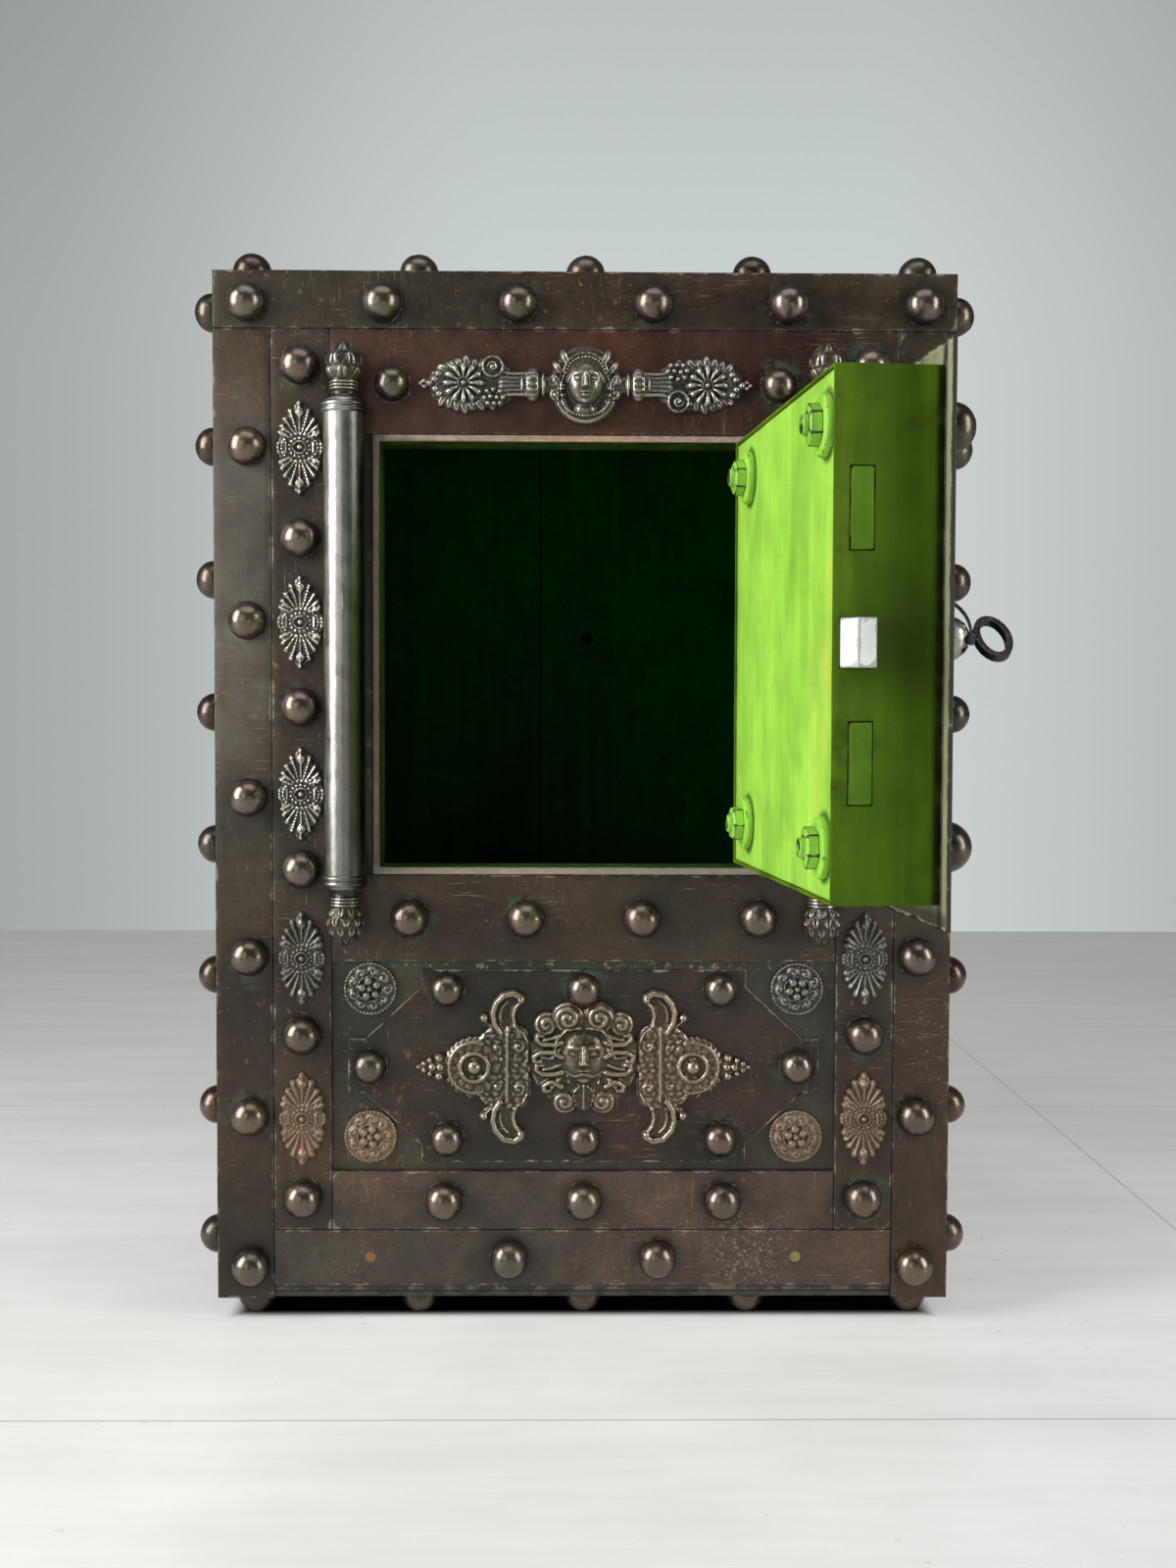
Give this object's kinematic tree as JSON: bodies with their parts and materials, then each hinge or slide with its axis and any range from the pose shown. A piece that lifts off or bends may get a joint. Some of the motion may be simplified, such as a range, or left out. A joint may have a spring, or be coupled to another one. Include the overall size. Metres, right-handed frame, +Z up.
{
  "type": "iron strongbox",
  "caption": "Oak strongbox clad in riveted iron straps with domed hobnail studs, cast ornaments, a hinged plug door with deadbolts, spring latch, lock and key.",
  "frame": {"origin": "on the floor, at the middle of the box's footprint, on the flat of the middle foot stud", "axes": "+X to the right seen from the front, +Y from the front to the back, +Z up"},
  "size_m": [0.607, 0.8021, 0.8304],
  "materials": {
    "iron_dark": "worn dark wrought iron",
    "iron_frieze": "worn reddish brown iron",
    "iron_sheet": "dark rolled iron sheet",
    "cast_relief": "worn cast relief, bright on its high points",
    "polished_steel": "handled steel, fine scratches",
    "oak": "sawn",
    "green_lining": "dark green paint",
    "green_paint": "old green paint",
    "lime_board": "bright green paint over wood grain",
    "lime_metal": "bright green paint",
    "bare_steel": "filed bright",
    "key_iron": "black handled iron"
  },
  "bodies": {
    "body": {"oak_carcase": "oak", "inner_lining": "green_lining", "front_sheet": "iron_sheet", "left_sheet": "iron_sheet", "right_sheet": "iron_sheet", "top_sheet": "iron_sheet", "bottom_sheet": "iron_sheet", "back_plate": "iron_dark", "front_top_rail": "iron_dark", "front_left_stile": "iron_dark", "front_right_stile": "iron_dark", "front_bottom_rail": "iron_dark", "left_inner_strap": "iron_dark", "right_inner_strap": "iron_dark", "frieze_plate": "iron_frieze", "middle_rail": "iron_dark", "lower_rail": "iron_dark", "opening_frame": "green_paint", "raised_panel_plate": "iron_dark", "corner_rosette_1": "cast_relief", "corner_rosette_2": "cast_relief", "corner_rosette_3": "cast_relief", "corner_rosette_4": "cast_relief", "frieze_ornament": "cast_relief", "panel_mask": "cast_relief", "right_cartouche": "cast_relief", "left_cartouche": "cast_relief", "left_column": "polished_steel", "upper_hinge_finial": "cast_relief", "lower_hinge_finial": "cast_relief", "left_side_straps": "iron_dark", "right_side_straps": "iron_dark", "top_straps": "iron_dark", "bottom_straps": "iron_dark"},
    "door": {"door_sheet": "iron_dark", "hinge_tube": "polished_steel", "door_tray": "green_paint", "door_board": "lime_board", "door_stud_1": "iron_dark", "door_stud_2": "iron_dark", "door_stud_3": "iron_dark", "door_stud_4": "iron_dark", "door_washer_1": "lime_metal", "door_washer_2": "lime_metal", "door_washer_3": "lime_metal", "door_washer_4": "lime_metal", "door_nut_1": "lime_metal", "door_nut_2": "lime_metal", "door_nut_3": "lime_metal", "door_nut_4": "lime_metal", "lock_case": "iron_sheet", "latch_spring": "bare_steel", "keyhole_boss": "iron_dark"},
    "deadbolts": {"deadbolts": "green_paint"},
    "latch": {"latch_bolt": "bare_steel"},
    "key_drum": {"key_drum": "bare_steel"},
    "key": {"key": "key_iron"},
    "keyhole_drop": {"keyhole_drop": "key_iron"}
  },
  "joints": [
    {"name": "door_hinge", "type": "hinge", "parent": "body", "child": "door", "pos_m": [0.183, -0.2335, 0.51891], "axis": [0, 0, 1], "range_deg": [-95.3, 40]},
    {"name": "key_turn", "type": "hinge", "parent": "door", "child": "key_drum", "pos_m": [0.21163, -0.54217, 0.51891], "axis": [-0.9957, -0.0924, 0], "range_deg": [0, 360]},
    {"name": "key_slide", "type": "slide", "parent": "key_drum", "child": "key", "axis": [0.9957, 0.0924, 0], "range_m": [0, 0.055]},
    {"name": "deadbolt_throw", "type": "slide", "parent": "door", "child": "deadbolts", "axis": [0.0924, -0.9957, 0], "range_m": [0, 0.022]},
    {"name": "latch_slide", "type": "slide", "parent": "door", "child": "latch", "axis": [-0.0924, 0.9957, 0], "range_m": [0, 0.013], "stiffness_N_per_m": 300, "springref_m": -0.006, "deforming": ["latch_spring"]},
    {"name": "drop_swing", "type": "hinge", "parent": "door", "child": "keyhole_drop", "pos_m": [0.20098, -0.54316, 0.54285], "axis": [-0.9957, -0.0924, 0], "range_deg": [0, 70]}
  ],
  "couplings": [
    {"joint": "key_turn", "follows": "deadbolt_throw", "rad_per_m": 285.6}
  ]
}
